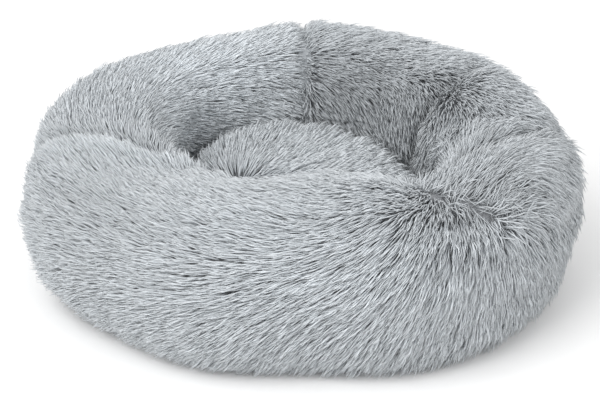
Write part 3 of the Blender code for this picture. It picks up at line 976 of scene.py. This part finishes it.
def repeat_tree(name, sizes):
    """Geometry Nodes: one shape on every point, turned along the point's heading."""
    tree = bpy.data.node_groups.new(name, "GeometryNodeTree")
    face = tree.interface
    face.new_socket("Points", in_out="INPUT", socket_type="NodeSocketGeometry")
    for key, value in sizes.items():
        socket = face.new_socket(key, in_out="INPUT", socket_type="NodeSocketFloat")
        socket.default_value = value
    face.new_socket("Shape", in_out="INPUT", socket_type="NodeSocketObject")
    face.new_socket("Material", in_out="INPUT", socket_type="NodeSocketMaterial")
    face.new_socket("Pieces", in_out="OUTPUT", socket_type="NodeSocketGeometry")
    given = tree.nodes.new("NodeGroupInput").outputs
    size = wire(tree, "ShaderNodeCombineXYZ",
                {"X": given["Length"], "Y": given["Width"], "Z": given["Height"]})
    source = wire(tree, "GeometryNodeObjectInfo", {"Object": given["Shape"]})
    turn = wire(tree, "FunctionNodeAlignRotationToVector",
                {"Vector": attribute(tree, "heading", "FLOAT_VECTOR")}, axis="X", pivot_axis="Z")
    placed = wire(tree, "GeometryNodeInstanceOnPoints",
                  {"Points": given["Points"], "Instance": source.outputs["Geometry"],
                   "Rotation": turn.outputs[0], "Scale": size.outputs[0]})
    real = wire(tree, "GeometryNodeRealizeInstances", {"Geometry": placed.outputs[0]})
    coloured = wire(tree, "GeometryNodeSetMaterial",
                    {"Geometry": real.outputs[0], "Material": given["Material"]})
    out = tree.nodes.new("NodeGroupOutput")
    tree.links.new(coloured.outputs[0], out.inputs[0])
    return tree


repeat = repeat_tree("repeat_on_points", {"Length": 0.002, "Width": 0.001, "Height": 0.001})


def smooth_faces(mesh):
    """Shades every face smoothly."""
    for face in mesh.polygons:
        face.use_smooth = True


def repeated(points, name, shape, finish, body, length, width, height):
    """Runs the repeat tree and returns its plain mesh, riding on a body."""
    step = points.modifiers.new("repeat", "NODES")
    step.node_group = repeat
    for key, value in (("Length", length), ("Width", width), ("Height", height),
                       ("Shape", shape), ("Material", finish)):
        step[socket_id(repeat, key)] = value
    graph = bpy.context.evaluated_depsgraph_get()
    mesh = bpy.data.meshes.new_from_object(points.evaluated_get(graph))
    bpy.data.objects.remove(points)
    smooth_faces(mesh)
    piece = link_mesh(name, mesh)
    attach(piece, body)
    print(name, "triangles", sum(len(f.vertices) - 2 for f in mesh.polygons))
    return piece


def rubber_material(name):
    """Grip dots: grey rubbery print, faintly mottled with dust."""
    material, tree, surface = material_start(name, 0.55)
    place = tree.nodes.new("ShaderNodeTexCoord").outputs["Object"]
    dust = wire(tree, "ShaderNodeTexNoise", {"Vector": place, "Scale": 90.0, "Detail": 4.0})
    tone = wire(tree, "ShaderNodeMix", {0: dust.outputs[0], 6: (0.10, 0.11, 0.12, 1),
                                        7: (0.19, 0.20, 0.21, 1)}, data_type="RGBA")
    tree.links.new(tone.outputs[2], surface.inputs["Base Color"])
    return material


def dome_shape(name, sides):
    """A low dome that hangs down from z = 0, closed on top, one unit in radius and depth."""
    shape = bmesh.new()
    bmesh.ops.create_uvsphere(shape, u_segments=sides, v_segments=4, radius=1.0)
    bmesh.ops.delete(shape, geom=[v for v in shape.verts if v.co.z > 0.1], context="VERTS")
    bmesh.ops.holes_fill(shape, edges=shape.edges)
    return finish_shape(name, shape)


ZIP_Y = 0.045
ZIP_CLEAR = (0.167, 0.014)
LABEL_CLEAR = 0.005
EDGE_CLEAR = 0.008
DOT_ROWS = 40
ROW_STEP = 0.866

label_low, label_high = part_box("care_label")
dot_places = []
for row in range(-DOT_ROWS, DOT_ROWS + 1):
    for column in range(-DOT_ROWS, DOT_ROWS + 1):
        x = RIM_CENTRE[0] + (column + 0.5 * (row % 2)) * DOT_PITCH
        y = RIM_CENTRE[1] + row * DOT_PITCH * ROW_STEP
        turn = math.degrees(math.atan2(y - RIM_CENTRE[1], x - RIM_CENTRE[0]))
        reach = math.hypot(x - RIM_CENTRE[0], y - RIM_CENTRE[1])
        on_zip = abs(x) < ZIP_CLEAR[0] and abs(y - ZIP_Y) < ZIP_CLEAR[1]
        on_label = (label_low.x - LABEL_CLEAR < x < label_high.x + LABEL_CLEAR
                    and label_low.y - LABEL_CLEAR < y < label_high.y + LABEL_CLEAR)
        if reach < base_edge(turn) - EDGE_CLEAR and not on_zip and not on_label:
            dot_places.append((x, y, DOT_HIGH))
flat_heading = [("heading", "FLOAT_VECTOR", [(1, 0, 0)] * len(dot_places))]
dome = dome_shape("dot_dome", 6)
rubber = rubber_material("grip_rubber")
repeated(cloud("dot_points", dot_places, flat_heading), "grip_dots", dome, rubber,
         "bed", DOT_RADIUS, DOT_RADIUS, DOT_HIGH)
bpy.data.objects.remove(dome)

# %% [markdown]
# ## Hem and stitches
# The hem binding is a folded tape, sewn through with a straight lockstitch every 3.5 mm. A stitch
# is a short bent capsule that dips into the cloth at both ends. One Geometry Nodes tree repeats it
# along every seam, as it does the dots.

# %% Stitch shape
STITCH_PITCH = 0.0035
STITCH_WIDE, STITCH_HIGH = 0.0006, 0.00045
STITCH_RINGS = ((-0.5, 0.25, 0.55), (-0.36, 0.75, 0.1), (0.0, 1.0, -0.1), (0.36, 0.75, 0.1),
                (0.5, 0.25, 0.55))


def stitch_shape(name):
    """One stitch along X: five rings of six points, thin at the ends, which dip into the cloth."""
    verts = []
    for along, wide, sink in STITCH_RINGS:
        for k in range(6):
            turn = math.radians(60 * k)
            verts.append((along, 0.5 * wide * math.cos(turn), 0.5 * wide * math.sin(turn) + sink))
    faces = [tuple(range(5, -1, -1)), tuple(range(24, 30))]
    for ring in range(4):
        for k in range(6):
            n = (k + 1) % 6
            faces.append((ring * 6 + k, ring * 6 + n, ring * 6 + 6 + n, ring * 6 + 6 + k))
    return shape_of(name, verts, faces)


stitch = stitch_shape("stitch")
thread = cloth_material("sewing_thread", (0.42, 0.44, 0.46), (0.55, 0.57, 0.59), 3200, 0.6)


def seam_points(corners, pitch, closed=False):
    """Even places and headings along a line of corners."""
    corners = [np.array(c, float) for c in corners]
    if closed:
        corners.append(corners[0])
    places, headings = [], []
    spare = pitch / 2
    for start, end in zip(corners, corners[1:]):
        length = np.linalg.norm(end - start)
        heading = (end - start) / length
        along = spare
        while along < length:
            places.append(start + heading * along)
            headings.append(heading)
            along += pitch
        spare = along - length
    return places, headings


def sew(name, corners, pitch=STITCH_PITCH, closed=False):
    """A row of stitches along the corners, on the bed."""
    places, headings = seam_points(corners, pitch, closed)
    points = cloud(name + "_points", places, [("heading", "FLOAT_VECTOR", headings)])
    repeated(points, name, stitch, thread, "bed", pitch * 0.8, STITCH_WIDE, STITCH_HIGH)


# %% Hem
HEM_INSET = 0.0035

hem = dressed("hem_binding", "hem_tape", "bed", binding)
smooth_faces(hem.data)


def hem_line(inset, height):
    """Corners that follow the base's edge, inset from it."""
    turns = np.radians(np.arange(0, 360, 3))
    reach = base_edge(np.degrees(turns)) - inset
    return [(RIM_CENTRE[0] + r * math.cos(t), RIM_CENTRE[1] + r * math.sin(t), height)
            for r, t in zip(reach, turns)]


sew("hem_stitches", hem_line(HEM_INSET, DOT_HIGH), closed=True)

# %% Label with two rows of stitches
LABEL_PITCH = 0.0022
LABEL_THREAD_HIGH = 0.00045

dressed("care_label", "care_label_satin", "bed", satin)
for name, x in (("label_stitches", label_low.x + 0.002),
                ("label_stitches_far", label_high.x - 0.002)):
    sew(name, [(x, y, LABEL_THREAD_HIGH) for y in (label_low.y + 0.001, label_high.y - 0.001)],
        pitch=LABEL_PITCH)

# %% [markdown]
# ## The zip
# The chain is two coils of nylon wire sewn to woven tapes, whose turns interlock. Each turn is one
# small closed ring of wire, repeated at the coil's pitch. Slider, pull and end stops keep their
# CAD shapes, and get a brushed metal.

# %% Coil turns
COIL_PITCH = 0.0014


def coil_turn(name):
    """One turn of the coil: a square-cornered oval of wire, eight steps round, four sides thick."""
    verts, faces = [], []
    for step in range(8):
        turn = math.radians(45 * step)
        middle = Vector((0.18 * math.sin(turn), 0.5 * math.cos(turn), 0.5 * math.sin(turn)))
        out = Vector((0.0, math.cos(turn), math.sin(turn)))
        for side in range(4):
            lean = math.radians(90 * side + 45)
            thick = Vector((0.30 * math.cos(lean), 0.0, 0.0)) + out * 0.14 * math.sin(lean)
            verts.append(tuple(middle * 0.8 + thick))
    for step in range(8):
        for side in range(4):
            a, b = step * 4, (step + 1) % 8 * 4
            n = (side + 1) % 4
            faces.append((a + side, a + n, b + n, b + side))
    return shape_of(name, verts, faces)


def nylon_material(name):
    """Moulded nylon: smooth grey with a faint clouding."""
    material, tree, surface = material_start(name, 0.35)
    place = tree.nodes.new("ShaderNodeTexCoord").outputs["Object"]
    cloud_noise = wire(tree, "ShaderNodeTexNoise", {"Vector": place, "Scale": 220.0, "Detail": 2.0})
    tone = wire(tree, "ShaderNodeMix", {0: cloud_noise.outputs[0], 6: (0.33, 0.35, 0.38, 1),
                                        7: (0.42, 0.44, 0.47, 1)}, data_type="RGBA")
    tree.links.new(tone.outputs[2], surface.inputs["Base Color"])
    return material


nylon = nylon_material("zip_nylon_wire")
turn_shape = coil_turn("coil_turn")
for side in ("front", "back"):
    low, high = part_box(f"zip_coil_{side}")
    middle = (low + high) / 2
    count = int((high.x - low.x - COIL_PITCH) / COIL_PITCH)
    shift = COIL_PITCH / 2 if side == "back" else 0.0
    places = [(low.x + COIL_PITCH * (0.5 + k) + shift, middle.y, middle.z) for k in range(count)]
    coil_points = cloud(f"coil_points_{side}", places,
                        [("heading", "FLOAT_VECTOR", [(1, 0, 0)] * count)])
    coil = repeated(coil_points, f"zip_coil_{side}_wire", turn_shape, nylon, "bed",
                    COIL_PITCH * 1.35, high.y - low.y, high.z - low.z)
    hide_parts(f"zip_coil_{side}")
bpy.data.objects.remove(turn_shape)

# %% Tape stitches
TAPE_SEAM = (0.158, 0.0105)

for side, sign in (("front", -1), ("back", 1)):
    y = ZIP_Y + sign * TAPE_SEAM[1]
    sew(f"zip_stitches_{side}", [(x, y, DOT_HIGH) for x in (-TAPE_SEAM[0], TAPE_SEAM[0])])
bpy.data.objects.remove(stitch)

# %% Metal
def metal_material(name):
    """Plated zinc: brushed along X, a little worn."""
    material, tree, surface = material_start(name, 0.3)
    surface.inputs["Metallic"].default_value = 1.0
    place = tree.nodes.new("ShaderNodeTexCoord").outputs["Object"]
    stretched = wire(tree, "ShaderNodeMapping", {"Vector": place, "Scale": (60.0, 2200.0, 900.0)})
    brushed = wire(tree, "ShaderNodeTexNoise", {"Vector": stretched.outputs[0], "Scale": 1.0,
                                                "Detail": 3.0})
    rough = wire(tree, "ShaderNodeMapRange", {"Value": brushed.outputs[0], 3: 0.22, 4: 0.42})
    tone = wire(tree, "ShaderNodeMix", {0: brushed.outputs[0], 6: (0.56, 0.57, 0.59, 1),
                                        7: (0.70, 0.71, 0.73, 1)}, data_type="RGBA")
    tree.links.new(rough.outputs[0], surface.inputs["Roughness"])
    tree.links.new(tone.outputs[2], surface.inputs["Base Color"])
    return material


plated = metal_material("plated_zinc")
for node in ("zip_slider", "zip_pull", "zip_top_stop", "zip_bottom_stop"):
    for slot in NODES[node].material_slots:
        slot.material = plated
